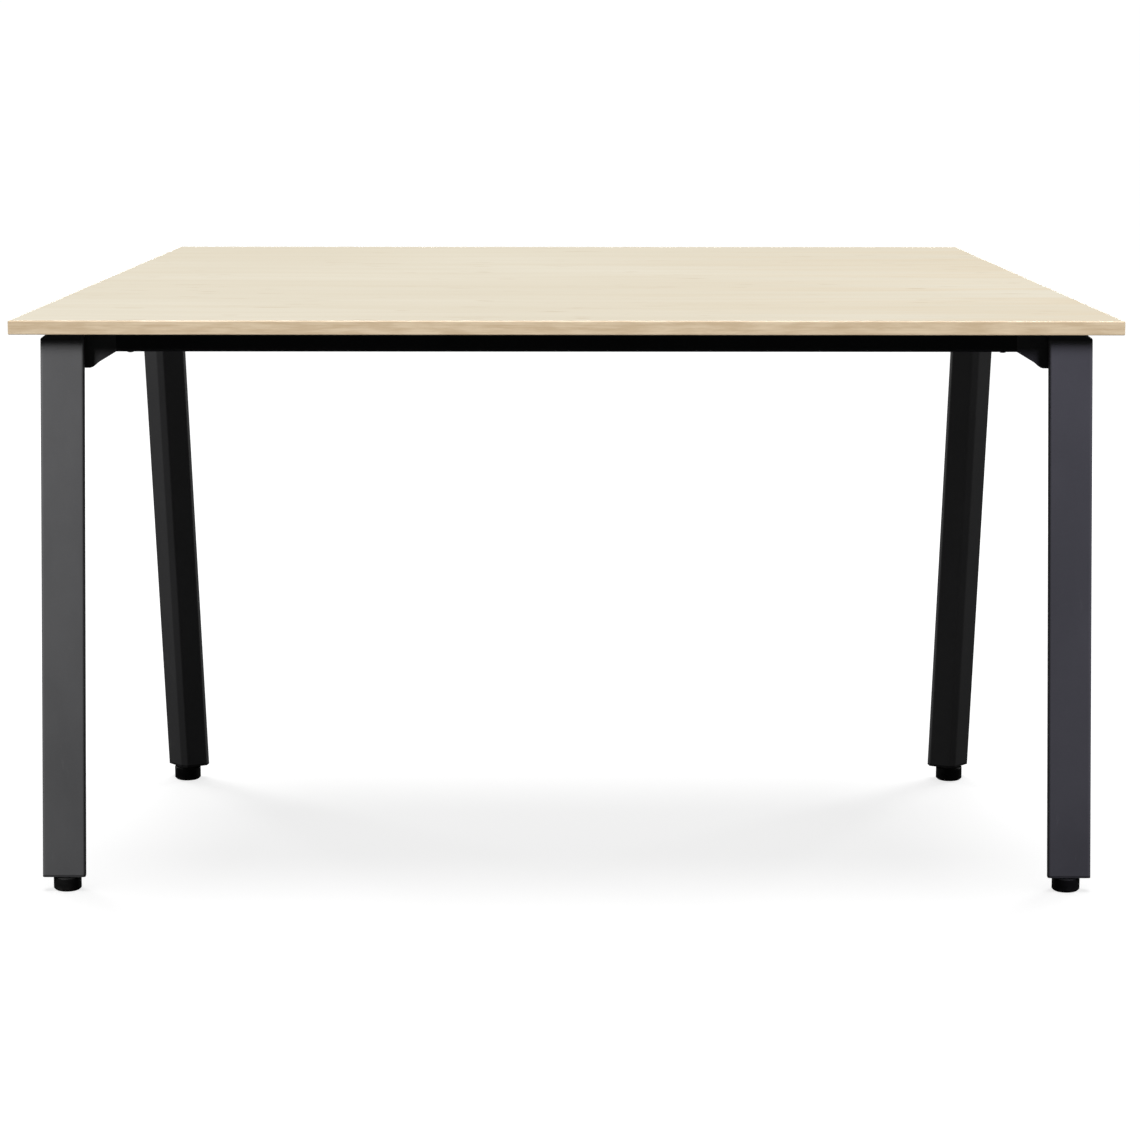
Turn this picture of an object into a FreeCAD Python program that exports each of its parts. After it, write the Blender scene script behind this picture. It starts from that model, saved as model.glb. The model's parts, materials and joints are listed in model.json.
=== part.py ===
import FreeCAD, Part
import os
import Sketcher
from FreeCAD import Vector

# Trapezoid table on four levelling feet.
# Frame in millimetres: the origin is on the floor under the middle of the top,
# X runs to the right, Y from the wide front edge to the narrow rear edge, Z up.

DOC = FreeCAD.newDocument("table")
SHEET = DOC.addObject("Spreadsheet::Sheet", "Sizes")
SIDEWAYS = Vector(1, 0, 0)
NODES = []
row_number = 0


def size(alias, value, note):
    """One row of the size sheet: the alias, its value and what it measures."""
    global row_number
    row_number += 1
    SHEET.set(f"A{row_number}", note)
    SHEET.set(f"B{row_number}", f"={value}")
    SHEET.setAlias(f"B{row_number}", alias)


def bind(thing, **expressions):
    """Bind properties to size-sheet expressions; a dot is written as two underscores."""
    for name, expression in expressions.items():
        thing.setExpression(name.replace("__", "."), expression)


# ---------------------------------------------------------------- sizes

size("top_front_width", 1400, "width of the top along its front edge")
size("top_rear_width", 1066, "width of the top along its rear edge")
size("top_deep", 610, "front edge to rear edge")
size("top_high", 750, "floor to the top surface")
size("top_thick", 18, "thickness of the board")
size("band_thick", 2, "thickness of the edging strips")
size("band_round", 1.5, "rounding of the edging strips' outer edges")
size("underside", "top_high - top_thick", "height of the board's underside")
size("front_half", "top_front_width / 2", "half the front width")
size("rear_half", "top_rear_width / 2", "half the rear width")
size("edge_y", "top_deep / 2", "distance of the front and rear edges from the middle")
size("side_tilt", "atan((front_half - rear_half) / top_deep)", "angle of a side edge from Y")
size("core_front_half", "front_half - band_thick * (1 / cos(side_tilt) + tan(side_tilt))",
     "half the board's front width inside the edging")
size("core_rear_half", "rear_half - band_thick * (1 / cos(side_tilt) - tan(side_tilt))",
     "half the board's rear width inside the edging")
size("core_edge_y", "edge_y - band_thick", "front and rear faces of the board inside the edging")

size("leg_round", 3.5, "corner rounding of the leg tube")
size("leg_wall", 2.5, "wall of the leg tube")
size("leg_half_wide", 27.6, "half the width of the leg's wide face")
size("leg_half_deep", 15, "half the depth of the leg tube")
size("leg_short_side", 8, "length of the flat short sides between their roundings")
size("leg_nose_half", 3.5, "half the flat of the leg's narrow face")
size("leg_bottom", 22.2, "lower end of the leg tubes")
size("leg_top", 721, "upper end of the leg tubes")
size("sole_height", 19.2, "underside of the plug flange")
size("front_foot_x", 645, "front foot axis from the middle plane")
size("front_sole_x", 648, "front leg axis from the middle plane at the plug flange")
size("front_top_x", 634.5, "front leg axis from the middle plane at the underside of the top")
size("front_leg_y", -268, "front leg axis along Y")
size("rear_foot_x", 534, "rear foot axis from the middle plane")
size("rear_foot_y", 284, "rear foot axis along Y")
size("rear_top_x", 547, "rear leg axis from the middle plane at the underside of the top")
size("rear_top_y", 115, "rear leg axis along Y at the underside of the top")
size("front_lean_x", "(front_sole_x - front_top_x) / (underside - sole_height)",
     "sideways lean of the left front leg for each millimetre up")
size("rear_lean_x", "(rear_foot_x - rear_top_x) / (underside - sole_height)",
     "sideways lean of the left rear leg for each millimetre up")
size("rear_lean_y", "(rear_top_y - rear_foot_y) / (underside - sole_height)",
     "lean of the rear leg along Y for each millimetre up")

size("rail_thick", 20, "rail tube across")
size("rail_high", 28, "rail tube height")
size("rail_wall", 2, "rail tube wall")
size("front_rail_y", -255, "middle of the front rail")
size("rear_rail_y", 110, "middle of the rear rail")
size("rail_bottom", "underside - rail_high", "underside of the rails")
size("side_run_x", "front_top_x - rear_top_x", "side rail line, its reach along X")
size("side_run_y", "rear_top_y - front_leg_y", "side rail line, its reach along Y")
size("side_line", "sqrt(side_run_x * side_run_x + side_run_y * side_run_y)",
     "distance between the leg axes along a side rail")
size("side_turn", "atan(side_run_x / side_run_y)", "angle of the side rails from Y")
size("line_turn", "90 deg - side_turn", "angle of the left side rail from X")
size("rear_leg_turn", "180 deg - side_turn", "turn of the left rear leg's section")

size("ear_reach", 38.5, "bracket ear beyond the leg")
size("ear_drop", 21, "bracket ear below the rails")
size("ear_flat", 5, "flat of the ear's lower end beyond the leg")
size("ear_bend_reach", 8.5, "first bend of the ear's lower curve beyond the leg")
size("ear_bend_drop", 19.9, "first bend of the ear's lower curve below the rails")
size("ear_curve_reach", 11.4, "second bend of the ear's lower curve beyond the leg")
size("ear_curve_drop", 17.9, "second bend of the ear's lower curve below the rails")
size("ear_knee_reach", 16.5, "lower corner of the ear's slope beyond the leg")
size("ear_knee_drop", 13.4, "lower corner of the ear's slope below the rails")
size("ear_bottom", "rail_bottom - ear_drop", "lower end of the ears")
size("side_ear_root", 15, "leg axis to the leg's face where the side ears leave it")
size("front_ear_end", "leg_half_wide + ear_reach", "front leg axis to its ear's shoulder")
size("rear_leg_reach", 30, "rear leg axis to its innermost corner")
size("rear_ear_end", "rear_leg_reach + ear_reach", "rear leg axis to its ear's shoulder")
size("side_ear_end", "side_ear_root + ear_reach", "leg axis to the side ears' shoulders")
size("tenon_long", 34, "bracket tenons inside the rails")
size("tenon_gap", 0.1, "gap round the bracket tenons")
size("spigot_low", 681, "lower end of the bracket spigots inside the legs")
size("saddle_gap", 0.3, "gap between the ears and the leg tubes")
size("web_thick", 4, "bracket web under the board")
size("bevel_run", 15, "bevel of the bracket head, across")
size("bevel_rise", 9.5, "bevel of the bracket head, height")

size("screw_hole", 2.6, "radius of the clearance holes for the screws")
size("pilot_hole", 2.2, "radius of the pilot holes in the board")
size("tap_hole", 2.55, "radius of the tapped holes in the tenons")
size("rail_screw_in", 17, "rail screw from the ear's shoulder")

size("pad_radius", 18, "foot pad radius")
size("pad_high", 18, "foot pad height")
size("pad_low_bevel", 2.2, "foot pad lower bevel")
size("pad_high_bevel", 1, "foot pad upper bevel")
size("pad_bore_low", 6, "bottom of the socket in the pad")
size("stem_radius", 5, "levelling stem radius")
size("stem_bore", 5.05, "radius of the bores the stem turns in")
size("stem_long", 40, "levelling stem length")
size("stem_bevel", 0.8, "stem end bevel")
size("neck_radius", 14.5, "round neck of the plug under its flange")
size("neck_low", 18.2, "lower end of the plug's neck")
size("plug_high", 41, "upper end of the plug")
size("plug_bore", 5.6, "radius of the bore through the plug")
size("bush_radius", 7, "threaded bush radius")
size("bush_low", 24, "lower end of the threaded bush")
size("bush_high", 38, "upper end of the threaded bush")
size("collar_radius", 9, "radius of the collar at the bush's lower end")
size("collar_thick", 2, "thickness of the bush's collar")
DOC.recompute()


def number(alias):
    value = SHEET.get(alias)
    return float(value.Value) if hasattr(value, "Value") else float(value)


def sized(expression):
    """Point every alias in an expression at the size sheet."""
    words = "".join(c if c.isalnum() or c == "_" else " " for c in expression).split()
    aliases = sorted({word for word in words if SHEET.getCellFromAlias(word)}, key=len)
    for alias in reversed(aliases):
        expression = expression.replace(alias, f"<{aliases.index(alias)}>")
    for place, alias in enumerate(aliases):
        expression = expression.replace(f"<{place}>", f"Sizes.{alias}")
    return expression


# ---------------------------------------------------------------- building blocks

def add(kind, label):
    thing = DOC.addObject(kind, label)
    thing.Label = label
    return thing


def polygon(sketch, corners):
    """A closed outline whose corners are pairs of size-sheet expressions."""
    count = len(corners)
    guesses = []
    for corner_pair in corners:
        values = [sketch.evalExpression(sized(value)) for value in corner_pair]
        guesses.append(Vector(*[float(getattr(v, "Value", v)) for v in values], 0))
    for index in range(count):
        start, end = guesses[index], guesses[(index + 1) % count]
        sketch.addGeometry(Part.LineSegment(start, end))
    Constraint = Sketcher.Constraint
    for index in range(count):
        sketch.addConstraint(Constraint("Coincident", index, 2, (index + 1) % count, 1))
    for index, (across, along) in enumerate(corners):
        for kind, axis, value, guess in (("DistanceX", -2, across, guesses[index].x),
                                         ("DistanceY", -1, along, guesses[index].y)):
            if value == "0":
                sketch.addConstraint(Constraint("PointOnObject", index, 1, axis))
                continue
            number_of = sketch.addConstraint(Constraint(kind, -1, 1, index, 1, guess))
            sketch.setExpression(f"Constraints[{number_of}]", sized(value))
    return sketch


def placed(thing, x="0", y="0", z="0", turn="0", stand="0"):
    """Place a thing at x, y, z, turned about Z after being stood up about X."""
    thing.setExpression("Placement", sized(
        f"placement(vector({x}; {y}; {z}); rotation({turn}; 0; {stand}))"))
    return thing


def extruded(label, sketch, x="0", y="0", z="0"):
    """A solid swept from a closed outline along a straight line."""
    solid = add("Part::Extrusion", label)
    solid.Base = sketch
    solid.DirMode = "Custom"
    solid.Solid = True
    bind(solid, Dir=sized(f"vector({x}; {y}; {z})"))
    return solid


def upright(label, corners, x, y, z, high):
    """A prism with a level outline, standing at height z."""
    outline = placed(polygon(add("Sketcher::SketchObject", label + "_outline"), corners), x, y, z)
    return extruded(label, outline, z=high)


def slab(label, x, y, z, long, wide, high, turn="0"):
    box = add("Part::Box", label)
    bind(box, Length=sized(long), Width=sized(wide), Height=sized(high))
    return placed(box, x, y, z, turn)


def rod(label, radius, x, y, z, high):
    cylinder = add("Part::Cylinder", label)
    bind(cylinder, Radius=sized(radius), Height=sized(high))
    return placed(cylinder, x, y, z)


def fused(label, things):
    joined = add("Part::MultiFuse", label)
    joined.Shapes = things
    joined.Refine = True
    return joined


def cut(label, thing, tool):
    remainder = add("Part::Cut", label)
    remainder.Base = thing
    remainder.Tool = tool
    remainder.Refine = True
    return remainder


def mirrored(label, thing):
    copy = add("Part::Mirroring", label)
    copy.Source = thing
    copy.Base = Vector(0, 0, 0)
    copy.Normal = SIDEWAYS
    return copy


def keep(*things):
    NODES.extend(things)


def pair(name, thing):
    """Keep a left-hand piece and its mirror image on the right."""
    thing.Label = name + "_left"
    keep(thing, mirrored(name + "_right", thing))


def body(label):
    return add("PartDesign::Body", label)


def revolved(label, corners, x, y, z="0"):
    """A turned piece: a half outline of radii and heights, spun about its own axis."""
    holder = body(label)
    outline = holder.newObject("Sketcher::SketchObject", label + "_half")
    outline.AttachmentSupport = [(holder.Origin.OriginFeatures[4], "")]
    outline.MapMode = "FlatFace"
    polygon(outline, corners)
    spin = holder.newObject("PartDesign::Revolution", label + "_spin")
    spin.Profile = outline
    spin.ReferenceAxis = (outline, ["V_Axis"])
    spin.Angle = 360
    holder.Tip = spin
    return placed(holder, x, y, z)


# ---------------------------------------------------------------- the top

board_blank = upright(
    "board_blank",
    [("-core_front_half", "-core_edge_y"), ("core_front_half", "-core_edge_y"),
     ("core_rear_half", "core_edge_y"), ("-core_rear_half", "core_edge_y")],
    "0", "0", "underside", "top_thick")


def edge_band(label, corners, outer_side):
    """An edging strip with mitred ends, its two long outer edges rounded."""
    holder = body(label)
    outline = holder.newObject("Sketcher::SketchObject", label + "_outline")
    outline.AttachmentSupport = [(holder.Origin.OriginFeatures[3], "")]
    outline.MapMode = "FlatFace"
    bind(outline, AttachmentOffset__Base__z="Sizes.underside")
    polygon(outline, corners)
    strip = holder.newObject("PartDesign::Pad", label + "_strip")
    strip.Profile = outline
    bind(strip, Length="Sizes.top_thick")
    strip.recompute(True)
    long_edges = []
    for index, edge in enumerate(strip.Shape.Edges):
        middle = edge.valueAt((edge.FirstParameter + edge.LastParameter) / 2)
        level = abs(edge.Vertexes[0].Z - edge.Vertexes[-1].Z) < 0.01
        if level and edge.Length > 100 and outer_side(middle):
            long_edges.append(f"Edge{index + 1}")
    rounding = holder.newObject("PartDesign::Fillet", label + "_rounding")
    rounding.Base = (strip, long_edges)
    bind(rounding, Radius="Sizes.band_round")
    holder.Tip = rounding
    keep(holder)


half_band = number("band_thick") / 2
middle_half = (number("front_half") + number("rear_half")) / 2
edge_band("edge_band_front",
          [("-front_half", "-edge_y"), ("front_half", "-edge_y"),
           ("core_front_half", "-core_edge_y"), ("-core_front_half", "-core_edge_y")],
          lambda p: p.y < -number("edge_y") + half_band)
edge_band("edge_band_rear",
          [("-rear_half", "edge_y"), ("-core_rear_half", "core_edge_y"),
           ("core_rear_half", "core_edge_y"), ("rear_half", "edge_y")],
          lambda p: p.y > number("edge_y") - half_band)
edge_band("edge_band_left",
          [("-front_half", "-edge_y"), ("-core_front_half", "-core_edge_y"),
           ("-core_rear_half", "core_edge_y"), ("-rear_half", "edge_y")],
          lambda p: p.x < -middle_half + half_band)
edge_band("edge_band_right",
          [("front_half", "-edge_y"), ("rear_half", "edge_y"),
           ("core_rear_half", "core_edge_y"), ("core_front_half", "-core_edge_y")],
          lambda p: p.x > middle_half - half_band)


# ---------------------------------------------------------------- legs

class Corner:
    """The left leg at the front or rear: its foot, its axis and how its section is turned."""

    def __init__(self, name, foot_x, sole_x, foot_y, lean_x, lean_y, turn):
        self.name = name
        self.foot_x = foot_x
        self.sole_x = sole_x
        self.foot_y = foot_y
        self.lean_x = lean_x
        self.lean_y = lean_y
        self.turn = turn

    def axis(self, z):
        """Where the leg's axis is at height z."""
        rise = f"({z} - sole_height)"
        return (f"({self.sole_x} + {self.lean_x} * {rise})",
                f"({self.foot_y} + {self.lean_y} * {rise})")

    def section(self, label, low, high, grow):
        """A length of the leg's section, its sharp core grown by a rounding."""
        wide = "(leg_half_wide - leg_round)"
        deep = "(leg_half_deep - leg_round)"
        short = f"(leg_short_side - {deep})"
        core = polygon(add("Sketcher::SketchObject", label + "_core"),
                       [(f"-{wide}", f"-{deep}"), (wide, f"-{deep}"), (wide, short),
                        ("leg_nose_half", deep), ("-leg_nose_half", deep), (f"-{wide}", short)])
        x, y = self.axis(low)
        placed(core, x, y, low, self.turn)
        rounded = add("Part::Offset2D", label + "_rounded")
        rounded.Source = core
        rounded.Join = "Arc"
        bind(rounded, Value=sized(grow))
        rise = f"({high} - {low})"
        return extruded(label, rounded, f"{self.lean_x} * {rise}", f"{self.lean_y} * {rise}", rise)


FRONT = Corner("front", "-front_foot_x", "-front_sole_x", "front_leg_y", "front_lean_x", "0",
               "0")
REAR = Corner("rear", "-rear_foot_x", "-rear_foot_x", "rear_foot_y", "rear_lean_x",
              "rear_lean_y", "rear_leg_turn")

for corner in (FRONT, REAR):
    name = corner.name
    outside = corner.section(f"leg_outside_{name}", "leg_bottom", "leg_top", "leg_round")
    inside = corner.section(f"leg_inside_{name}", "leg_bottom", "leg_top",
                            "leg_round - leg_wall")
    pair(f"leg_{name}", cut(f"leg_{name}_left", outside, inside))


# ---------------------------------------------------------------- corner brackets

def ear(label, root, x, y, turn):
    """An upright ear: level on top, curved and sloping underneath, as thick as a rail."""
    outline = add("Sketcher::SketchObject", label + "_outline")
    polygon(outline, [
        ("0", "underside"), ("0", "ear_bottom"), (f"{root} + ear_flat", "ear_bottom"),
        (f"{root} + ear_bend_reach", "rail_bottom - ear_bend_drop"),
        (f"{root} + ear_curve_reach", "rail_bottom - ear_curve_drop"),
        (f"{root} + ear_knee_reach", "rail_bottom - ear_knee_drop"),
        (f"{root} + ear_reach", "rail_bottom"), (f"{root} + ear_reach", "underside")])
    half = "rail_thick / 2"
    placed(outline, f"{x} - {half} * sin({turn})", f"{y} + {half} * cos({turn})", "0",
           turn, "90")
    return extruded(label, outline,
                    f"rail_thick * sin({turn})", f"-rail_thick * cos({turn})", "0")


def tenon(label, x, y, turn, shoulder):
    """The block of a bracket inside a rail's end, starting in the ear."""
    gap = "(rail_wall + tenon_gap)"
    half = f"(rail_thick / 2 - {gap})"
    start = f"({shoulder} - 1)"
    return slab(label,
                f"{x} + {start} * cos({turn}) + {half} * sin({turn})",
                f"{y} + {start} * sin({turn}) - {half} * cos({turn})",
                f"rail_bottom + {gap}", "tenon_long + 1", f"2 * {half}",
                f"rail_high - 2 * {gap}", turn)


RAIL_SCREWS = []
BOARD_SCREWS = []


def bracket(corner, rail_y, rail_end, side_turn, web, web_screw, bevel_out):
    """A cast corner: head on the leg, spigot in it, two ears, two tenons and a web."""
    name = corner.name
    top_x, top_y = corner.axis("underside")
    head = corner.section(f"head_{name}", "leg_top", "underside", "leg_round")
    spigot = corner.section(f"spigot_{name}", "spigot_low", "leg_top + 1",
                            "leg_round - leg_wall - tenon_gap")
    saddle = corner.section(f"saddle_{name}", "(ear_bottom - 10)", "leg_top",
                            "leg_round + saddle_gap")
    across = ear(f"ear_across_{name}", f"({rail_end} - ear_reach)", top_x, rail_y, "0")
    along = ear(f"ear_along_{name}", "side_ear_root", top_x, top_y, side_turn)
    web_plate = upright(f"web_{name}", web, top_x, top_y, "underside - web_thick", "web_thick")
    ears = cut(f"ears_{name}", fused(f"ear_pair_{name}", [across, along, web_plate]), saddle)
    tenons = [tenon(f"tenon_across_{name}", top_x, rail_y, "0", rail_end),
              tenon(f"tenon_along_{name}", top_x, top_y, side_turn, "side_ear_end")]
    casting = fused(f"casting_{name}", [head, spigot, ears] + tenons)
    bevel = polygon(add("Sketcher::SketchObject", f"bevel_outline_{name}"),
                    [("-5", "-5 * bevel_rise / bevel_run"), ("-5", "2 * bevel_rise"),
                     ("2 * bevel_run", "2 * bevel_rise")])
    placed(bevel, f"{top_x} - {bevel_out}", "edge_y", "underside - bevel_rise", "0", "90")
    bevel_cut = extruded(f"bevel_{name}", bevel, "0", "-2 * edge_y", "0")
    screw_x, screw_y = (f"{top_x} + {web_screw[0]}", f"{top_y} + {web_screw[1]}")
    BOARD_SCREWS.append((screw_x, screw_y))
    holes = [bevel_cut,
             rod(f"web_hole_{name}", "screw_hole", screw_x, screw_y, "underside - 10", "12")]
    reach = f"({rail_end} + rail_screw_in)"
    spots = [(f"{top_x} + {reach}", rail_y),
             (f"{top_x} + (side_ear_end + rail_screw_in) * cos({side_turn})",
              f"{top_y} + (side_ear_end + rail_screw_in) * sin({side_turn})")]
    for index, (x, y) in enumerate(spots):
        RAIL_SCREWS.append((x, y))
        holes.append(rod(f"tap_{name}_{index}", "tap_hole", x, y, "rail_bottom", "16"))
    return cut(f"corner_bracket_{name}_left", casting, fused(f"bracket_holes_{name}", holes))


front_web = [("0", "0"), ("front_ear_end", "13"), ("front_ear_end", "39"), ("51", "54"),
             ("27", "54")]
rear_web = [("0", "0"), ("-1", "-54"), ("47", "-52"), ("rear_ear_end", "-31"),
            ("rear_ear_end", "-5")]
pair("corner_bracket_front",
     bracket(FRONT, "front_rail_y", "front_ear_end", "line_turn", front_web, ("51", "38"),
             "leg_half_wide"))
pair("corner_bracket_rear",
     bracket(REAR, "rear_rail_y", "rear_ear_end", "(line_turn + 180 deg)", rear_web,
             ("45", "-36"), "leg_half_wide"))


# ---------------------------------------------------------------- rails

def rail(label, x, y, long, turn, screws):
    """A rectangular tube between two brackets, with a screw hole near each end."""
    outer_half = "rail_thick / 2"
    inner_half = f"({outer_half} - rail_wall)"
    outside = slab(label + "_outside", f"{x} + {outer_half} * sin({turn})",
                   f"{y} - {outer_half} * cos({turn})", "rail_bottom",
                   long, "rail_thick", "rail_high", turn)
    inside = slab(label + "_inside",
                  f"{x} + {inner_half} * sin({turn}) - cos({turn})",
                  f"{y} - {inner_half} * cos({turn}) - sin({turn})", "rail_bottom + rail_wall",
                  f"{long} + 2", f"2 * {inner_half}", "rail_high - 2 * rail_wall", turn)
    holes = [rod(f"{label}_hole_{index}", "screw_hole", spot[0], spot[1], "rail_bottom - 1",
                 "rail_wall + 2") for index, spot in enumerate(screws)]
    return cut(label, outside, fused(label + "_voids", [inside] + holes))


front_screw, front_side_screw, rear_screw, rear_side_screw = RAIL_SCREWS
front_rail_half = "(front_top_x - front_ear_end)"
rear_rail_half = "(rear_top_x - rear_ear_end)"
keep(rail("front_rail", f"-{front_rail_half}", "front_rail_y", f"2 * {front_rail_half}", "0",
          [front_screw, (f"-({front_screw[0]})", front_screw[1])]),
     rail("rear_rail", f"-{rear_rail_half}", "rear_rail_y", f"2 * {rear_rail_half}", "0",
          [rear_screw, (f"-({rear_screw[0]})", rear_screw[1])]))
pair("side_rail",
     rail("side_rail_left", "-front_top_x + side_ear_end * cos(line_turn)",
          "front_leg_y + side_ear_end * sin(line_turn)",
          "side_line - 2 * side_ear_end", "line_turn", [front_side_screw, rear_side_screw]))


# ---------------------------------------------------------------- screws

def screw(label, x, y, head_low, head_radius, head_high, shank_radius, shank_long):
    """A round-headed screw standing on its head, shank upwards."""
    shank = rod(label + "_shank", shank_radius, x, y, f"{head_low} + {head_high}", shank_long)
    head = rod(label + "_head", head_radius, x, y, head_low, head_high)
    return fused(label, [shank, head])


def both_sides(spots):
    return spots + [(f"-({x})", y) for x, y in spots]


rail_screws = [screw(f"rail_screw_{index}", x, y, "(rail_bottom - 2.5)", "4.5", "2.5",
                     "2.5", "14")
               for index, (x, y) in enumerate(both_sides(RAIL_SCREWS))]
board_screws = [screw(f"board_screw_{index}", x, y, "(underside - web_thick - 2.5)", "4.5",
                      "2.5", "pilot_hole", "web_thick + 12")
                for index, (x, y) in enumerate(both_sides(BOARD_SCREWS))]
for label, screws in (("rail_screws", rail_screws), ("top_screws", board_screws)):
    group = add("Part::Compound", label)
    group.Links = screws
    keep(group)

pilots = [rod(f"pilot_{index}", "pilot_hole", x, y, "underside - 1", "13.5")
          for index, (x, y) in enumerate(both_sides(BOARD_SCREWS))]
keep(cut("top_panel", board_blank, fused("pilot_holes", pilots)))


# ---------------------------------------------------------------- levelling feet

for corner in (FRONT, REAR):
    name = corner.name
    x, y = corner.foot_x, corner.foot_y
    flange = corner.section(f"plug_flange_{name}", "sole_height", "leg_bottom", "leg_round")
    core = corner.section(f"plug_core_{name}", "sole_height", "plug_high",
                          "leg_round - leg_wall - tenon_gap")
    neck = rod(f"plug_neck_{name}", "neck_radius", x, y, "neck_low",
               "sole_height - neck_low + 1")
    voids = fused(f"plug_voids_{name}", [
        rod(f"plug_bore_{name}", "plug_bore", x, y, "neck_low - 1", "plug_high"),
        rod(f"plug_seat_{name}", "bush_radius", x, y, "bush_low", "bush_high - bush_low"),
        rod(f"plug_collar_seat_{name}", "collar_radius", x, y, "bush_low", "collar_thick")])
    pair(f"leg_plug_{name}",
         cut(f"leg_plug_{name}_left", fused(f"plug_blank_{name}", [flange, core, neck]), voids))
    pair(f"foot_bush_{name}", revolved(
        f"foot_bush_{name}_left",
        [("stem_bore", "bush_low"), ("collar_radius", "bush_low"),
         ("collar_radius", "bush_low + collar_thick"),
         ("bush_radius", "bush_low + collar_thick"), ("bush_radius", "bush_high"),
         ("stem_bore", "bush_high")], x, y))
    pair(f"foot_stem_{name}", revolved(
        f"foot_stem_{name}_left",
        [("0", "pad_bore_low"), ("stem_radius - stem_bevel", "pad_bore_low"),
         ("stem_radius", "pad_bore_low + stem_bevel"),
         ("stem_radius", "pad_bore_low + stem_long - stem_bevel"),
         ("stem_radius - stem_bevel", "pad_bore_low + stem_long"),
         ("0", "pad_bore_low + stem_long")], x, y))
    pair(f"foot_pad_{name}", revolved(
        f"foot_pad_{name}_left",
        [("0", "0"), ("pad_radius - pad_low_bevel", "0"), ("pad_radius", "pad_low_bevel"),
         ("pad_radius", "pad_high - pad_high_bevel"),
         ("pad_radius - pad_high_bevel", "pad_high"), ("stem_bore", "pad_high"),
         ("stem_bore", "pad_bore_low"), ("0", "pad_bore_low")], x, y))

DOC.recompute()

# ---------------------------------------------------------------- checks and files

troubles = [thing.Label for thing in DOC.Objects
            if "Invalid" in thing.State or "Error" in thing.State]
if troubles:
    raise RuntimeError("objects in error: " + ", ".join(troubles))

os.makedirs("parts", exist_ok=True)
for node in NODES:
    shape = node.Shape
    if shape.isNull() or not shape.isValid():
        raise RuntimeError("bad shape: " + node.Label)
    if not shape.Solids:
        raise RuntimeError("no solid: " + node.Label)
    shape.exportStep(f"parts/{node.Label}.step")
    box = shape.BoundBox
    print(f"{node.Label:28s} solids {len(shape.Solids)} volume {shape.Volume:12.1f} "
          f"x {box.XMin:8.2f} {box.XMax:8.2f} y {box.YMin:8.2f} {box.YMax:8.2f} "
          f"z {box.ZMin:7.2f} {box.ZMax:7.2f}")
print(len(NODES), "nodes")
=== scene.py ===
"""Looks of the trapezoid table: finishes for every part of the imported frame, the
detailed levelling feet and screws, and the studio round them. Metres, +Z up."""

import json
import math

import bmesh
import bpy
from mathutils import Matrix, Vector


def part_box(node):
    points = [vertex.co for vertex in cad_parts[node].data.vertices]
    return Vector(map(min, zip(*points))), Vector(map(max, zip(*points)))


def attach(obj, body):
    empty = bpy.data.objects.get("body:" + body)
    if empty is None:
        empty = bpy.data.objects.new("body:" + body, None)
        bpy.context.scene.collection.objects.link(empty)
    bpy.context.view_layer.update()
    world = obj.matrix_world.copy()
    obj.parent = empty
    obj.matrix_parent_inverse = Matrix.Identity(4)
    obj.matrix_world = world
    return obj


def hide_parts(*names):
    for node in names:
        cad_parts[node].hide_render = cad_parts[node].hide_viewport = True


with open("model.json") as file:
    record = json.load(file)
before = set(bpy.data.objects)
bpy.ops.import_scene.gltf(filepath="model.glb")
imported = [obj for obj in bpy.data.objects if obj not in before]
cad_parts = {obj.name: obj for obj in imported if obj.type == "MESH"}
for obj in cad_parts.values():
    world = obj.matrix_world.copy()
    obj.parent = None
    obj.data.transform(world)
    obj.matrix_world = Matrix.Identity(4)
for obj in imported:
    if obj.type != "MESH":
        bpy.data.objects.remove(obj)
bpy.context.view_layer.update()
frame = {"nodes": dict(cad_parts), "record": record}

ENDS = ("front", "rear")
SIDES = ("left", "right")
CORNERS = [f"{end}_{side}" for end in ENDS for side in SIDES]
MM = 0.001


# ---------------------------------------------------------------- node graphs

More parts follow.
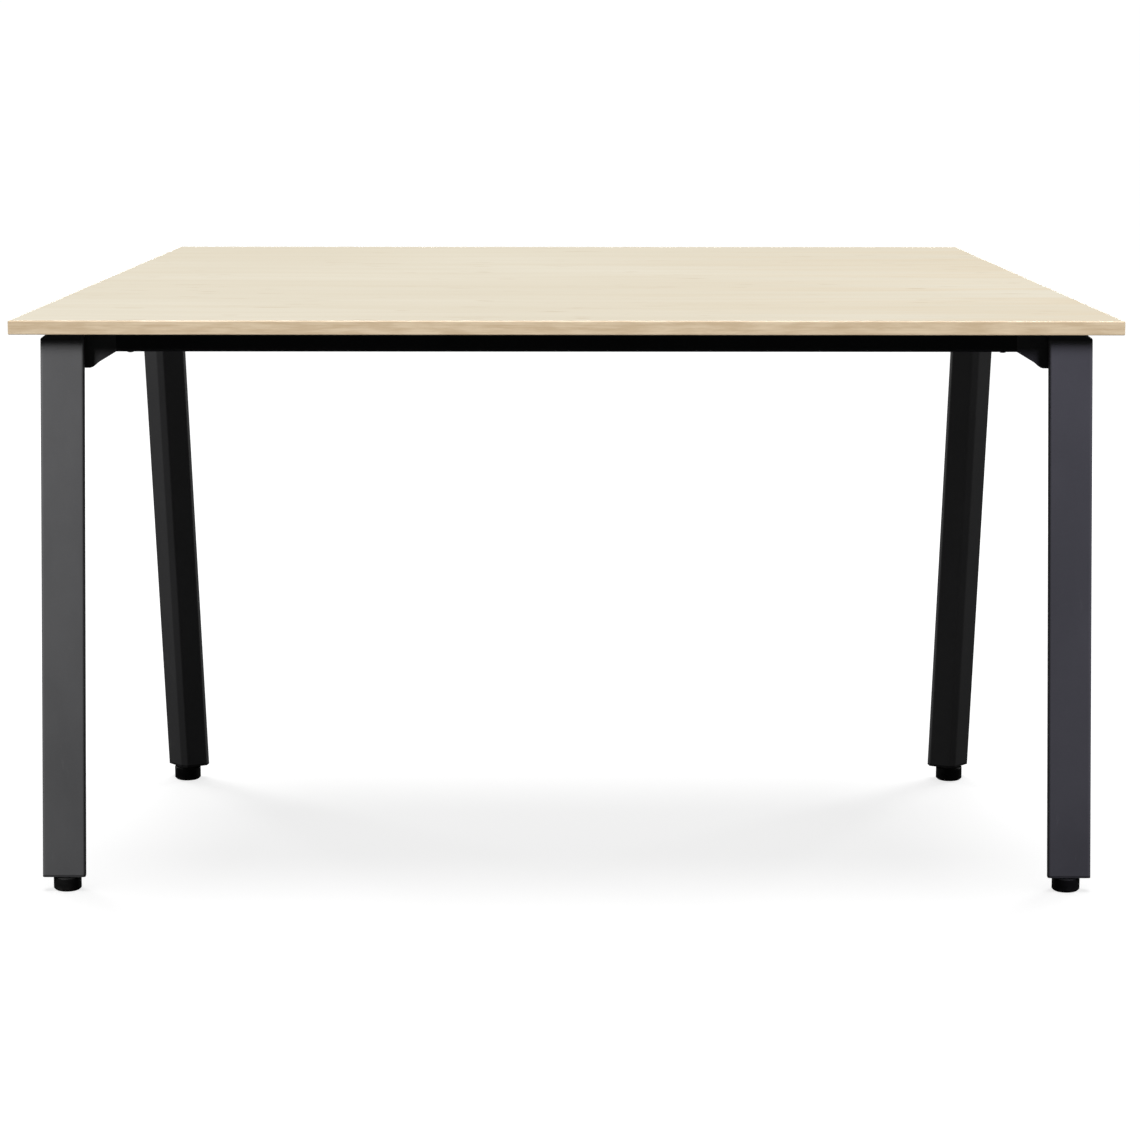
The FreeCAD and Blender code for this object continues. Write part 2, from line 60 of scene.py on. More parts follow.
class Recipe:
    """A material being written: its node tree, and short ways to add to it."""

    def __init__(self, name):
        self.material = bpy.data.materials.new(name)
        self.material.use_nodes = True
        self.tree = self.material.node_tree
        self.shader = self.tree.nodes["Principled BSDF"]
        self.place = self.add("ShaderNodeTexCoord").outputs["Object"]

    def add(self, kind, **settings):
        """A new node with some of its settings changed."""
        node = self.tree.nodes.new(kind)
        for name, value in settings.items():
            setattr(node, name, value)
        return node

    def feed(self, socket, value):
        """Link a socket to another one, or set its value."""
        if isinstance(value, bpy.types.NodeSocket):
            self.tree.links.new(value, socket)
        else:
            socket.default_value = value

    def finish(self, **inputs):
        """Set the shader's inputs; an underscore stands for a space."""
        for name, value in inputs.items():
            self.feed(self.shader.inputs[name.replace("_", " ")], value)
        return self.material

    def stretched(self, along_x, along_y, along_z, shift=0.0):
        """Object coordinates scaled to features per metre along each axis."""
        mapping = self.add("ShaderNodeMapping")
        self.feed(mapping.inputs["Vector"], self.place)
        mapping.inputs["Scale"].default_value = (along_x, along_y, along_z)
        mapping.inputs["Location"].default_value = (shift, shift, shift)
        return mapping.outputs["Vector"]

    def noise(self, where, detail=3.0, roughness=0.55, distortion=0.0):
        """Cloudy noise, 0 to 1, in coordinates made by stretched."""
        texture = self.add("ShaderNodeTexNoise")
        self.feed(texture.inputs["Vector"], where)
        texture.inputs["Scale"].default_value = 1.0
        texture.inputs["Detail"].default_value = detail
        texture.inputs["Roughness"].default_value = roughness
        texture.inputs["Distortion"].default_value = distortion
        return texture.outputs["Fac"]

    def range(self, value, low, high, new_low=0.0, new_high=1.0):
        """Spread low..high over new_low..new_high, smoothly and clamped."""
        spread = self.add("ShaderNodeMapRange", interpolation_type="SMOOTHSTEP")
        for name, number in (("Value", value), ("From Min", low), ("From Max", high),
                             ("To Min", new_low), ("To Max", new_high)):
            self.feed(spread.inputs[name], number)
        return spread.outputs["Result"]

    def mix(self, factor, first, second):
        """Mix two colours; a colour is a socket or three numbers."""
        node = self.add("ShaderNodeMix", data_type="RGBA")
        self.feed(node.inputs[0], factor)
        for socket, colour in ((node.inputs[6], first), (node.inputs[7], second)):
            self.feed(socket, colour if isinstance(colour, bpy.types.NodeSocket)
                      else (*colour, 1.0))
        return node.outputs[2]

    def calculate(self, operation, first, second):
        """One step of arithmetic on two sockets or numbers."""
        node = self.add("ShaderNodeMath", operation=operation)
        self.feed(node.inputs[0], first)
        self.feed(node.inputs[1], second)
        return node.outputs[0]

    def bump(self, height, depth, strength):
        """A surface relief of a given depth in metres."""
        relief = self.add("ShaderNodeBump")
        relief.inputs["Strength"].default_value = strength
        relief.inputs["Distance"].default_value = depth
        self.feed(relief.inputs["Height"], height)
        return relief.outputs["Normal"]

    def axis(self, letter):
        """One object coordinate, in metres."""
        split = self.add("ShaderNodeSeparateXYZ")
        self.feed(split.inputs[0], self.place)
        return split.outputs[letter]

    def facing_down(self):
        """1 on faces that look at the floor, 0 elsewhere."""
        split = self.add("ShaderNodeSeparateXYZ")
        geometry = self.add("ShaderNodeNewGeometry")
        self.feed(split.inputs[0], geometry.outputs["True Normal"])
        return self.range(split.outputs["Z"], -0.4, -0.8)


# ---------------------------------------------------------------- finishes

MAPLE_PALE = (0.73, 0.68, 0.565)
MAPLE_DEEP = (0.65, 0.58, 0.45)
MAPLE_ORANGE = (0.71, 0.60, 0.44)
MAPLE_FLECK = (0.52, 0.42, 0.29)
BACKING = (0.56, 0.54, 0.50)
BACKING_PALE = (0.60, 0.58, 0.54)
EDGING_PALE = (0.66, 0.535, 0.375)
EDGING_DEEP = (0.54, 0.415, 0.27)
EDGING_SHADE = (0.45, 0.33, 0.20)
GREY_PAINT = (0.058, 0.058, 0.060)
GREY_WORN = (0.13, 0.13, 0.13)
# Cast brackets: the frame's grey paint made darker as painted shade, standing in for the board's
# shadow over them.
CAST_PAINT_AND_SHADE = (0.030, 0.030, 0.031)
CAST_WORN = (0.10, 0.10, 0.10)
# Black paint, dark partly as painted shade that stands in for the board's shadow over the rails.
BLACK_PAINT_AND_SHADE = (0.009, 0.009, 0.0095)
BLACK_WORN = (0.04, 0.04, 0.04)
PLUG_POLYMER = (0.022, 0.022, 0.023)
FOOT_POLYMER = (0.003, 0.003, 0.003)
DUST = (0.16, 0.15, 0.14)
ZINC = (0.62, 0.63, 0.65)
BLACKENED = (0.05, 0.05, 0.052)

# Depths of the surface reliefs, in metres.
PRINT_RELIEF = 0.00003
PAINT_RELIEF = 0.00006
SKIN_RELIEF = 0.00003
TURNING_RELIEF = 0.00002

# How high above the floor scuffs thin out, and dust stops.
SCUFF_TOP = 0.22
SCUFF_FULL = 0.02
DUST_TOP = 0.008


def top_laminate():
    """Light maple print with its grain along X on top, a plain backing sheet below."""
    recipe = Recipe("top_laminate")
    patches = recipe.noise(recipe.stretched(1.1, 6, 6), 2, 0.5)
    streaks = recipe.noise(recipe.stretched(1.6, 34, 34, 4.0), 5, 0.62, 0.4)
    lines = recipe.noise(recipe.stretched(5, 260, 260, 9.0), 4, 0.7)
    wave = recipe.add("ShaderNodeTexWave", wave_type="BANDS", bands_direction="Y")
    recipe.feed(wave.inputs["Vector"], recipe.stretched(0.12, 1, 1, 2.0))
    for name, value in (("Scale", 9), ("Distortion", 5.5), ("Detail", 3), ("Detail Scale", 1.3)):
        wave.inputs[name].default_value = value
    colour = recipe.mix(recipe.range(patches, 0.32, 0.68), MAPLE_PALE, MAPLE_DEEP)
    colour = recipe.mix(0.55, colour, MAPLE_PALE)
    orange = recipe.calculate("MULTIPLY", recipe.range(recipe.axis("X"), -0.1, 0.75, 0.05, 0.7),
                              recipe.range(streaks, 0.35, 0.65))
    colour = recipe.mix(orange, colour, MAPLE_ORANGE)
    grain = recipe.calculate("MULTIPLY", recipe.range(streaks, 0.45, 0.75), 0.34)
    colour = recipe.mix(grain, colour, MAPLE_DEEP)
    figure = recipe.calculate("MULTIPLY", recipe.range(wave.outputs["Fac"], 0.55, 1.0), 0.16)
    colour = recipe.mix(figure, colour, MAPLE_DEEP)
    fine = recipe.calculate("MULTIPLY", recipe.range(lines, 0.5, 0.8), 0.3)
    colour = recipe.mix(fine, colour, MAPLE_DEEP)
    spots = recipe.noise(recipe.stretched(16, 190, 190, 7.0), 1, 0.4)
    flecks = recipe.calculate("MULTIPLY", recipe.range(spots, 0.70, 0.78), 0.5)
    colour = recipe.mix(flecks, colour, MAPLE_FLECK)
    below = recipe.facing_down()
    speckle = recipe.noise(recipe.stretched(420, 420, 420), 3)
    backing = recipe.mix(recipe.range(speckle, 0.3, 0.7), BACKING, BACKING_PALE)
    colour = recipe.mix(below, colour, backing)
    relief = recipe.bump(recipe.calculate("ADD", lines, speckle), PRINT_RELIEF, 0.5)
    return recipe.finish(Base_Color=colour, Roughness=recipe.range(lines, 0.2, 0.8, 0.5, 0.6),
                         Specular_IOR_Level=0.22, Normal=relief)


def edge_band():
    """Wood-print edging, its short mottled streaks running along every edge."""
    recipe = Recipe("edge_band")
    mottle = recipe.noise(recipe.stretched(22, 22, 160), 4, 0.6)
    streaks = recipe.noise(recipe.stretched(7, 7, 620, 3.0), 3, 0.6)
    colour = recipe.mix(recipe.range(mottle, 0.3, 0.7), EDGING_PALE, EDGING_DEEP)
    shade = recipe.calculate("MULTIPLY", recipe.range(streaks, 0.45, 0.7), 0.35)
    colour = recipe.mix(shade, colour, EDGING_SHADE)
    relief = recipe.bump(streaks, PRINT_RELIEF, 0.5)
    return recipe.finish(Base_Color=colour, Roughness=recipe.range(mottle, 0.2, 0.8, 0.38, 0.5),
                         Specular_IOR_Level=0.35, Normal=relief)


def powder_coat(name, colour, wear, shine, gloss):
    """Fine-textured paint baked on steel: orange peel, faint clouds and rubbed spots.

    wear is the colour of rubbed spots, shine the specular level, gloss the lowest roughness.
    """
    recipe = Recipe(name)
    peel = recipe.noise(recipe.stretched(1500, 1500, 1500), 2, 0.6)
    clouds = recipe.noise(recipe.stretched(9, 9, 5), 4, 0.6)
    scuffs = recipe.noise(recipe.stretched(60, 60, 14, 6.0), 5, 0.7)
    tint = recipe.mix(recipe.range(clouds, 0.3, 0.7), [0.92 * c for c in colour],
                      [1.07 * c for c in colour])
    low = recipe.range(recipe.axis("Z"), SCUFF_TOP, SCUFF_FULL)
    rubbed = recipe.calculate("MULTIPLY", recipe.range(scuffs, 0.62, 0.74), 0.30)
    rubbed = recipe.calculate("MULTIPLY", rubbed, recipe.calculate("ADD", low, 0.25))
    tint = recipe.mix(rubbed, tint, wear)
    grit = recipe.calculate("MULTIPLY", recipe.range(peel, 0.58, 0.72), 0.12)
    tint = recipe.mix(grit, tint, wear)
    return recipe.finish(Base_Color=tint, Specular_IOR_Level=shine,
                         Roughness=recipe.range(peel, 0.3, 0.7, gloss, gloss + 0.12),
                         Normal=recipe.bump(peel, PAINT_RELIEF, 0.45))


def moulded_plastic(name, colour, shine, gloss):
    """Moulded polymer: a spark-eroded skin, faint flow marks and dust low down."""
    recipe = Recipe(name)
    skin = recipe.noise(recipe.stretched(2600, 2600, 2600), 2, 0.5)
    flow = recipe.noise(recipe.stretched(45, 45, 120), 4, 0.6, 0.8)
    dust = recipe.calculate("MULTIPLY", recipe.range(recipe.axis("Z"), DUST_TOP, 0.0), 0.07)
    dust = recipe.calculate("MULTIPLY", dust, recipe.range(flow, 0.35, 0.7))
    tint = recipe.mix(recipe.range(flow, 0.3, 0.7), colour, [1.3 * c for c in colour])
    tint = recipe.mix(dust, tint, DUST)
    return recipe.finish(Base_Color=tint, Specular_IOR_Level=shine,
                         Roughness=recipe.range(flow, 0.3, 0.7, gloss, gloss + 0.15),
                         Normal=recipe.bump(skin, SKIN_RELIEF, 0.5))


def plated_steel(name, colour, gloss, metal):
    """Plated steel: a cloudy bright skin with turning marks."""
    recipe = Recipe(name)
    clouds = recipe.noise(recipe.stretched(160, 160, 160), 4, 0.6)
    marks = recipe.noise(recipe.stretched(300, 300, 4200), 2, 0.5)
    tint = recipe.mix(recipe.range(clouds, 0.3, 0.7), colour, [0.78 * c for c in colour])
    return recipe.finish(Base_Color=tint, Metallic=metal,
                         Roughness=recipe.range(clouds, 0.3, 0.7, gloss, gloss + 0.16),
                         Normal=recipe.bump(marks, TURNING_RELIEF, 0.5))


FINISHES = {
    "top_laminate": top_laminate(),
    "edge_band": edge_band(),
    "frame_paint": powder_coat("frame_paint", GREY_PAINT, GREY_WORN, shine=0.25, gloss=0.46),
    # Rails: black paint, partly painted shade for the board's shadow.
    "black_paint": powder_coat("black_paint", BLACK_PAINT_AND_SHADE, BLACK_WORN, shine=0.12, gloss=0.45),
    # Brackets: grey paint darkened as painted shade for the board's shadow.
    "cast_paint": powder_coat("cast_paint", CAST_PAINT_AND_SHADE, CAST_WORN, shine=0.2, gloss=0.44),
    "plug_plastic": moulded_plastic("plug_plastic", PLUG_POLYMER, shine=0.2, gloss=0.5),
    "foot_plastic": moulded_plastic("foot_plastic", FOOT_POLYMER, shine=0.09, gloss=0.4),
    "zinc_steel": plated_steel("zinc_steel", ZINC, gloss=0.26, metal=1.0),
    "black_steel": plated_steel("black_steel", BLACKENED, gloss=0.38, metal=0.7),
}


def paint_node(node, slot):
    """Give a CAD node its finish, in every material slot it has."""
    thing = frame["nodes"][node]
    if not thing.material_slots:
        thing.data.materials.append(FINISHES[slot])
    for place in thing.material_slots:
        place.material = FINISHES[slot]


# ---------------------------------------------------------------- mesh building

# Rings per turn of a thread, how steeply its flanks rise, and segments in a rounded edge.
RINGS_PER_TURN = 8
FLANK_SLOPE = 2.7
ROUNDING_STEPS = 3


def turned(rings, sides):
    """A closed turned mesh about Z: rings of (height, radius or radius of angle)."""
    mesh = bmesh.new()
    loops = []
    for height, radius in rings:
        if radius == 0:
            loops.append([mesh.verts.new((0, 0, height))])
            continue
        loop = []
        for step in range(sides):
            angle = math.tau * step / sides
            reach = radius(angle) if callable(radius) else radius
            loop.append(mesh.verts.new((reach * math.cos(angle), reach * math.sin(angle), height)))
        loops.append(loop)
    for lower, upper in zip(loops, loops[1:]):
        for step in range(sides):
            after = (step + 1) % sides
            if len(lower) == 1:
                mesh.faces.new((lower[0], upper[after], upper[step]))
            elif len(upper) == 1:
                mesh.faces.new((lower[step], lower[after], upper[0]))
            else:
                mesh.faces.new((lower[step], lower[after], upper[after], upper[step]))
    bmesh.ops.recalc_face_normals(mesh, faces=mesh.faces)
    return mesh


def thread_rings(low, high, crest, depth, pitch):
    """Rings of a screw thread; both ends run out over one pitch."""
    steps = max(4, round((high - low) / pitch * RINGS_PER_TURN))

    def ring(height):
        fade = min(1.0, (height - low) / pitch, (high - height) / pitch)

        def radius(angle):
            phase = (height / pitch - angle / math.tau) % 1.0
            tooth = min(1.0, FLANK_SLOPE * (0.5 - abs(phase - 0.5)))
            return crest - depth + depth * tooth * fade
        return radius

    heights = [low + (high - low) * step / steps for step in range(steps + 1)]
    return [(height, ring(height)) for height in heights]


def arc(middle_radius, middle_height, size, first, last):
    """Points (height, radius) of a rounding in a turned outline; angles in degrees."""
    points = []
    for step in range(ROUNDING_STEPS + 1):
        angle = math.radians(first + (last - first) * step / ROUNDING_STEPS)
        points.append((middle_height + size * math.sin(angle),
                       middle_radius + size * math.cos(angle)))
    return points


def as_object(name, mesh, slot, sharp_degrees=38):
    """Turn a bmesh into a smooth-shaded object with its finish, and link it."""
    data = bpy.data.meshes.new(name)
    mesh.to_mesh(data)
    mesh.free()
    data.shade_smooth()
    data.set_sharp_from_angle(angle=math.radians(sharp_degrees))
    data.materials.append(FINISHES[slot])
    thing = bpy.data.objects.new(name, data)
    bpy.context.scene.collection.objects.link(thing)
    return thing


def settle(thing, body, slot, *nodes):
    """Say what a piece rides on and the CAD nodes it stands for, which it hides; slot is not used."""
    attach(thing, body)
    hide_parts(*nodes)


def without(thing, tool):
    """The mesh of a thing with a tool's shape cut out of it; the tool may cross itself."""
    cutter = thing.modifiers.new("cut", "BOOLEAN")
    cutter.object = tool
    cutter.solver = "EXACT"
    cutter.use_self = True
    depsgraph = bpy.context.evaluated_depsgraph_get()
    result = bpy.data.meshes.new_from_object(thing.evaluated_get(depsgraph))
    mesh = bmesh.new()
    mesh.from_mesh(result)
    bpy.data.objects.remove(thing)
    bpy.data.objects.remove(tool)
    bpy.data.meshes.remove(result)
    if not mesh.faces:
        raise RuntimeError("the cut left nothing")
    return mesh


# ---------------------------------------------------------------- levelling feet

STEM_SIDES = 40
STEM_PITCH = 1.5 * MM
STEM_DEPTH = 0.75 * MM
STEM_NECK = 10 * MM
STEM_BEVEL = 0.8 * MM
NECK_GAP = 0.1 * MM
PAD_SIDES = 72
PAD_EASE = 0.6 * MM
PAD_LOW_BEVEL = 2.2 * MM
PAD_HIGH_BEVEL = 1.0 * MM
BEVEL_INSET = 0.35 * MM
BEVEL_LIFT = 0.25 * MM
SOCKET_RADIUS = 5.05 * MM
SOCKET_FLOOR = 6 * MM
SOCKET_BEVEL = 0.4 * MM
COLLAR_WIDE = 2.4 * MM
COLLAR_SLOPE = 0.2 * MM
COLLAR_DEEP = 0.5 * MM
DIMPLE_DEEP = 0.8 * MM
DIMPLE_RADIUS = 3.2 * MM
DIMPLE_SLOPE = 0.6 * MM
SOLE_GROOVES = (6.2 * MM, 9.0 * MM, 11.8 * MM)
GROOVE_WIDE = 0.9 * MM
GROOVE_DEEP = 0.6 * MM
GROOVE_SLOPE = 0.1 * MM


def levelling_stem(corner):
    """The threaded stem of one foot, with a plain neck in the pad's socket."""
    low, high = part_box(f"foot_stem_{corner}")
    middle = (low + high) / 2
    radius = (high.x - low.x) / 2
    root = radius - STEM_DEPTH
    long = high.z - low.z
    rings = [(0.0, 0), (0.0, radius - STEM_BEVEL), (STEM_BEVEL, radius - NECK_GAP),
             (STEM_NECK, radius - NECK_GAP), (STEM_NECK + 0.4 * MM, root)]
    rings += thread_rings(STEM_NECK + 0.5 * MM, long - STEM_BEVEL, radius, STEM_DEPTH, STEM_PITCH)
    rings += [(long, root - STEM_BEVEL), (long, 0)]
    stem = as_object(f"levelling_stem_{corner}", turned(rings, STEM_SIDES), "zinc_steel", 25)
    stem.location = (middle.x, middle.y, low.z)
    settle(stem, f"stem_{corner}", "zinc_steel", f"foot_stem_{corner}")


def levelling_pad(corner):
    """The round foot: a grooved sole, eased edges and the socket for its stem."""
    low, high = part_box(f"foot_pad_{corner}")
    middle = (low + high) / 2
    radius = (high.x - low.x) / 2
    tall = high.z - low.z
    rings = [(DIMPLE_DEEP, 0), (DIMPLE_DEEP, DIMPLE_RADIUS - DIMPLE_SLOPE), (0.0, DIMPLE_RADIUS)]
    for groove in SOLE_GROOVES:
        half = GROOVE_WIDE / 2
        rings += [(0.0, groove - half), (GROOVE_DEEP, groove - half + GROOVE_SLOPE),
                  (GROOVE_DEEP, groove + half - GROOVE_SLOPE), (0.0, groove + half)]
    side = radius - PAD_EASE
    rings += arc(radius - PAD_LOW_BEVEL - BEVEL_INSET, PAD_EASE, PAD_EASE, -90, -45)
    rings += arc(side, PAD_LOW_BEVEL + BEVEL_LIFT, PAD_EASE, -45, 0)
    rings += arc(side, tall - PAD_HIGH_BEVEL - BEVEL_LIFT, PAD_EASE, 0, 45)
    rings += arc(radius - PAD_HIGH_BEVEL - BEVEL_INSET, tall - PAD_EASE, PAD_EASE, 45, 90)
    collar = tall - COLLAR_DEEP
    rings += [(tall, SOCKET_RADIUS + COLLAR_WIDE),
              (collar, SOCKET_RADIUS + COLLAR_WIDE - COLLAR_SLOPE),
              (collar, SOCKET_RADIUS + SOCKET_BEVEL), (collar - SOCKET_BEVEL, SOCKET_RADIUS),
              (SOCKET_FLOOR, SOCKET_RADIUS), (SOCKET_FLOOR, 0)]
    pad = as_object(f"levelling_pad_{corner}", turned(rings, PAD_SIDES), "foot_plastic", 30)
    pad.location = (middle.x, middle.y, low.z)
    settle(pad, f"pad_{corner}", "foot_plastic", f"foot_pad_{corner}")


# ---------------------------------------------------------------- screws

SCREW_SIDES = 28
HEAD_HIGH = 2.5 * MM
NECK_LONG = 0.6 * MM
POINT_LONG = 4 * MM
POINT_RADIUS = 0.15 * MM
BLUNT_BEVEL = 0.5 * MM
RECESS_LONG = 4.6 * MM
RECESS_WIDE = 1.0 * MM
RECESS_DEEP = 1.5 * MM
RECESS_START = -1 * MM
MACHINE_SHANK = 2.5 * MM
MACHINE_PITCH = 0.8 * MM
WOOD_SHANK = 2.2 * MM
WOOD_PITCH = 1.6 * MM
SCREW_REACH = 12 * MM
TURN_BETWEEN_HEADS = 1.1


def separate_boxes(node):
    """The box of each screw of a node, whose vertices lie near each other in plan."""
    groups = []
    for vertex in frame["nodes"][node].data.vertices:
        flat = vertex.co.xy
        for group in groups:
            if (group[0].xy - flat).length < SCREW_REACH:
                group.append(vertex.co.copy())
                break
        else:
            groups.append([vertex.co.copy()])
    return [(Vector([min(p[axis] for p in group) for axis in range(3)]),
             Vector([max(p[axis] for p in group) for axis in range(3)])) for group in groups]


def cross_recess():
    """A tapered cross that cuts the drive out of a screw head, which faces down."""
    mesh = bmesh.new()
    for turned_square in (False, True):
        corners = []
        for height, share in ((RECESS_START, 1.15), (RECESS_DEEP, 0.45)):
            for x, y in ((-1, -1), (1, -1), (1, 1), (-1, 1)):
                along = x * share * RECESS_LONG / 2
                across = y * RECESS_WIDE / 2
                spot = (-across, along, height) if turned_square else (along, across, height)
                corners.append(mesh.verts.new(spot))
        lower, upper = corners[:4], corners[4:]
        mesh.faces.new(list(reversed(lower)))
        mesh.faces.new(upper)
        for step in range(4):
            after = (step + 1) % 4
            mesh.faces.new((lower[step], lower[after], upper[after], upper[step]))
    return mesh


def screw_mesh(head_radius, long, shank_radius, pitch, pointed):
    """One pan-head screw, head down at height 0, with its cross recess and thread."""
    outline = ((0.0, 0.0), (0.0, 0.35), (0.06, 0.7), (0.25, 0.93), (0.55, 1.0), (0.92, 1.0),
               (1.0, 0.95))
    rings = [(up * HEAD_HIGH, out * head_radius) for up, out in outline]
    depth = 0.22 * shank_radius
    root = shank_radius - depth
    shoulder = HEAD_HIGH + NECK_LONG
    end = long - (POINT_LONG if pointed else NECK_LONG)
    rings += [(HEAD_HIGH, root), (shoulder, root)]
    rings += thread_rings(shoulder + 0.1 * MM, end, shank_radius, depth, pitch)
    rings += [(long, POINT_RADIUS if pointed else root - BLUNT_BEVEL), (long, 0)]
    head = as_object("screw_blank", turned(rings, SCREW_SIDES), "black_steel")
    tool = as_object("screw_recess", cross_recess(), "black_steel")
    return without(head, tool)


def screws(name, node, slot, shank_radius, pitch, pointed):
    """All the screws of one kind as one piece, each where its CAD solid is."""
    boxes = separate_boxes(node)
    low, high = boxes[0]
    pattern = screw_mesh((high.x - low.x) / 2, high.z - low.z, shank_radius, pitch, pointed)
    group = bmesh.new()
    for index, (low, high) in enumerate(boxes):
        middle = (low + high) / 2
        standing = Matrix.Translation((middle.x, middle.y, low.z))
        placed = bpy.data.meshes.new("placed_screw")
        pattern.to_mesh(placed)
        placed.transform(standing @ Matrix.Rotation(TURN_BETWEEN_HEADS * index, 4, "Z"))
        group.from_mesh(placed)
        bpy.data.meshes.remove(placed)
    pattern.free()
    piece = as_object(name, group, slot)
    settle(piece, "table", slot, node)


# ---------------------------------------------------------------- building the looks

CAST_EDGE = 0.5 * MM
SEAM_GAP = 0.02 * MM


def ease_edges(node):
    """Round a CAD node's sharp edges a little, as casting leaves them."""
    thing = frame["nodes"][node]
    weld = thing.modifiers.new("join_seams", "WELD")
    weld.merge_threshold = SEAM_GAP
    bevel = thing.modifiers.new("eased_edges", "BEVEL")
    bevel.width = CAST_EDGE
    bevel.segments = 2
    bevel.limit_method = "ANGLE"
    bevel.angle_limit = math.radians(40)


for part in frame["record"]["subparts"]:
    paint_node(part["node"], part["material_slot"])

for corner in CORNERS:
    levelling_stem(corner)
    levelling_pad(corner)
screws("rail_machine_screws", "rail_screws", "black_steel", MACHINE_SHANK, MACHINE_PITCH, False)
screws("board_wood_screws", "top_screws", "zinc_steel", WOOD_SHANK, WOOD_PITCH, True)

for corner in CORNERS:
    ease_edges(f"corner_bracket_{corner}")


# ---------------------------------------------------------------- studio

# The floor's half width; its albedo for light that bounces and as the camera sees it; and the
# glow it has for the camera only.
FLOOR_HALF = 60.0
FLOOR_BOUNCE = (0.153, 0.153, 0.153)
FLOOR_SEEN = (0.436, 0.436, 0.436)
FLOOR_GLOW = 0.765


def pale_floor():
    """A wide pale floor, bright as it is seen, that throws little light back up."""
    mesh = bmesh.new()
    corners = [(-1, -1), (1, -1), (1, 1), (-1, 1)]
    mesh.faces.new([mesh.verts.new((x * FLOOR_HALF, y * FLOOR_HALF, 0)) for x, y in corners])
    data = bpy.data.meshes.new("floor")
    mesh.to_mesh(data)
    mesh.free()
    recipe = Recipe("floor_paper")
    seen = recipe.add("ShaderNodeLightPath").outputs["Is Camera Ray"]
    colour = recipe.mix(seen, FLOOR_BOUNCE, FLOOR_SEEN)
    glow = recipe.calculate("MULTIPLY", seen, FLOOR_GLOW)
    data.materials.append(recipe.finish(
        Base_Color=colour, Roughness=0.9, Specular_IOR_Level=0.0,
        Emission_Color=(1, 1, 1, 1), Emission_Strength=glow))
    floor = bpy.data.objects.new("floor", data)
    bpy.context.scene.collection.objects.link(floor)


def white_world(seen, lighting):
    """A plain white surround: one strength as seen, another as light."""
    world = bpy.data.worlds.new("surround")
    world.use_nodes = True
    tree = world.node_tree
    background = tree.nodes["Background"]
    background.inputs["Color"].default_value = (1, 1, 1, 1)
    path = tree.nodes.new("ShaderNodeLightPath")
    strength = tree.nodes.new("ShaderNodeMapRange")
    strength.inputs["To Min"].default_value = lighting
    strength.inputs["To Max"].default_value = seen
    tree.links.new(path.outputs["Is Camera Ray"], strength.inputs["Value"])
    tree.links.new(strength.outputs["Result"], background.inputs["Strength"])
    bpy.context.scene.world = world


def lamp_at(name, light, place, target, only_on):
    """Hang a light and aim it at a target; only_on lists all it lights, as flags would."""
    lamp = bpy.data.objects.new(name, light)
    lamp.location = place
    lamp.rotation_euler = (Vector(target) - lamp.location).to_track_quat("-Z", "Y").to_euler()
    lamp.visible_camera = False
    bpy.context.scene.collection.objects.link(lamp)
    receivers = bpy.data.collections.new(name + "_receivers")
    for thing in only_on:
        receivers.objects.link(thing)
    lamp.light_linking.receiver_collection = receivers


def softbox(name, place, target, wide, high, power, colour, only_on):
    """A rectangular softbox, its power in watts."""
    light = bpy.data.lights.new(name, "AREA")
    light.shape = "RECTANGLE"
    light.size = wide
    light.size_y = high
    light.energy = power
    light.color = colour
    lamp_at(name, light, place, target, only_on)


def far_light(name, direction, strength, spread_degrees, only_on):
    """Broad, even light from far away; direction points at where it comes from."""
    light = bpy.data.lights.new(name, "SUN")
    light.energy = strength
    light.angle = math.radians(spread_degrees)
    lamp_at(name, light, Vector(direction).normalized() * 5, (0, 0, 0), only_on)


WHITE = (1.0, 1.0, 1.0)
COOL = (0.84, 0.82, 1.0)

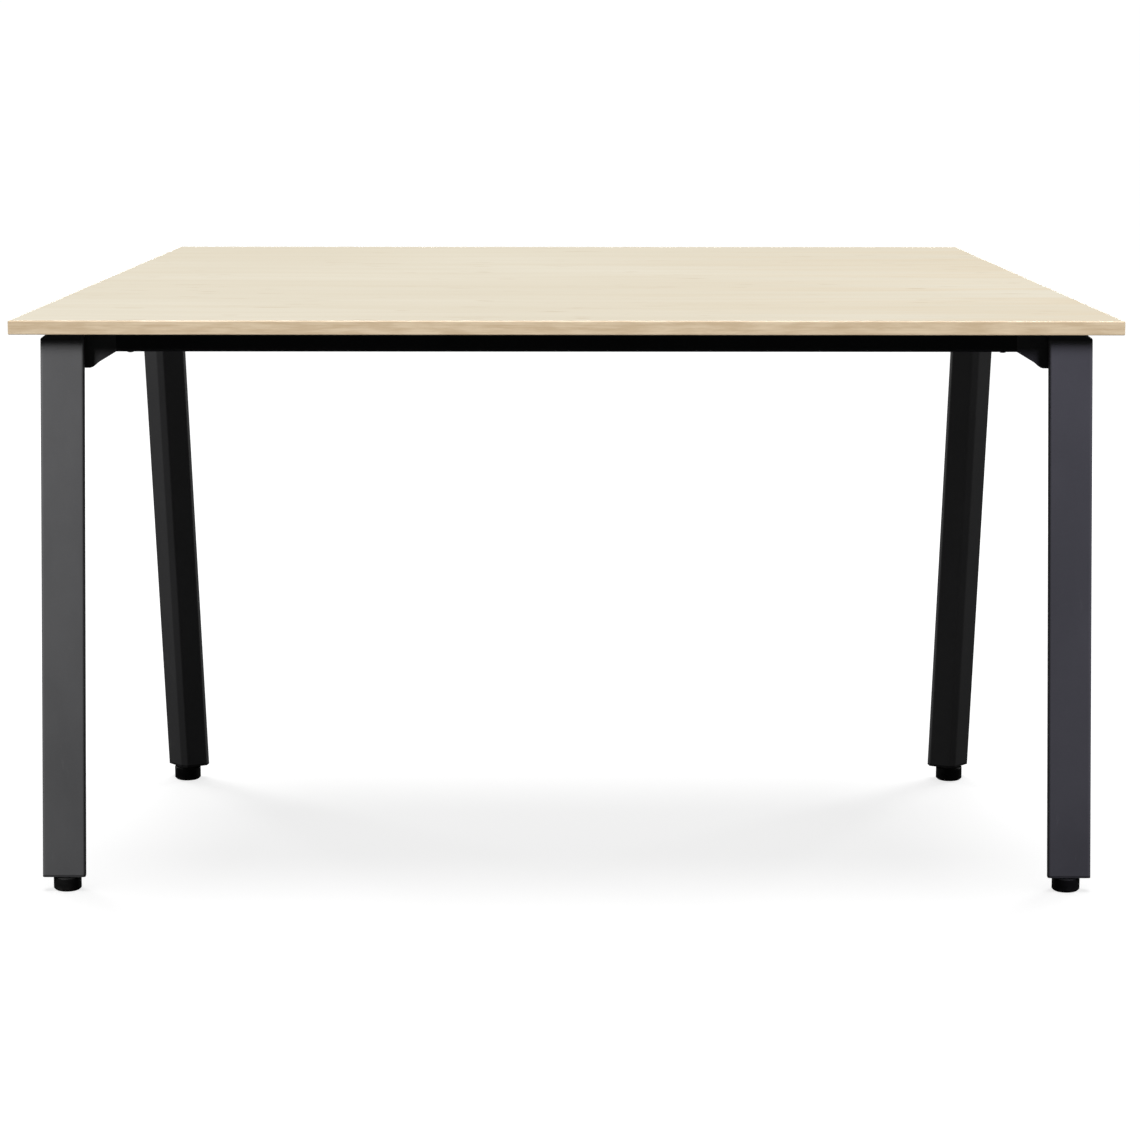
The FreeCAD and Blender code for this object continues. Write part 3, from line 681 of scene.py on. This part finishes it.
pale_floor()
white_world(seen=1.0, lighting=0.02)
meshes = [thing for thing in bpy.data.objects if thing.type == "MESH"]
board = [thing for thing in meshes if thing.name.startswith(("top_panel", "edge_band"))]
rear = [thing for thing in meshes if "_rear_" in thing.name]
front = [thing for thing in meshes if thing not in rear]
rails = [thing for thing in meshes if "_rail" in thing.name]
left_post = rails + [thing for thing in meshes if "_front_left" in thing.name]
right_post = rails + [thing for thing in meshes if "_front_right" in thing.name]
under = [thing for thing in meshes if thing not in board]
edging = [thing for thing in meshes if thing.name.startswith("edge_band")]
# Far lights: direction, strength in W/m2, width in degrees, and what they light.
far_light("overhead", (0.0, 0.0, 1.0), 1.84, 32, front)
far_light("front_high", (0.0, -1.0, 0.7), 3.65, 28, board)
for name, direction in (("left", (-1.0, 0.3, 0.3)), ("right", (1.0, 0.3, 0.3)),
                        ("rear", (0.0, 1.0, 0.3))):
    far_light(f"edge_{name}", direction, 1.6, 30, edging)

# Softboxes: place and target, width and height in metres, power in watts, colour, and what they light.
softbox("key_left", (-2.0, -1.7, 2.1), (-0.64, -0.27, 0.45), 0.8, 0.8, 158, WHITE, left_post)
softbox("key_right", (2.0, -1.7, 2.1), (0.64, -0.27, 0.45), 0.8, 0.8, 108, COOL, right_post)
softbox("side_left", (-2.2, -0.6, 1.0), (-0.54, 0.2, 0.4), 0.8, 1.0, 14, WHITE, rear)
softbox("side_right", (2.2, -0.6, 1.0), (0.54, 0.2, 0.4), 0.8, 1.0, 4.5, WHITE, rear)
softbox("rear_left", (-2.4, 2.3, 1.3), (0, 0, 0.4), 1.2, 1.4, 40, WHITE, under)
softbox("rear_right", (2.4, 2.3, 1.3), (0, 0, 0.4), 1.2, 1.4, 40, WHITE, under)

CAMERA_PLACE = (0.0271, -6.305, 1.7694)
CAMERA_DOWN = math.radians(12.578)
CAMERA_LEFT = math.radians(0.214)
LENS_LENGTH = 153.28
SENSOR_WIDTH = 36
FAR_LIMIT = 200

lens = bpy.data.cameras.new("camera")
lens.lens = LENS_LENGTH
lens.sensor_width = SENSOR_WIDTH
lens.clip_end = FAR_LIMIT
camera = bpy.data.objects.new("camera", lens)
camera.location = CAMERA_PLACE
camera.rotation_euler = (math.pi / 2 - CAMERA_DOWN, 0, CAMERA_LEFT)
bpy.context.scene.collection.objects.link(camera)
bpy.context.scene.camera = camera
bpy.context.scene.view_settings.view_transform = "Standard"
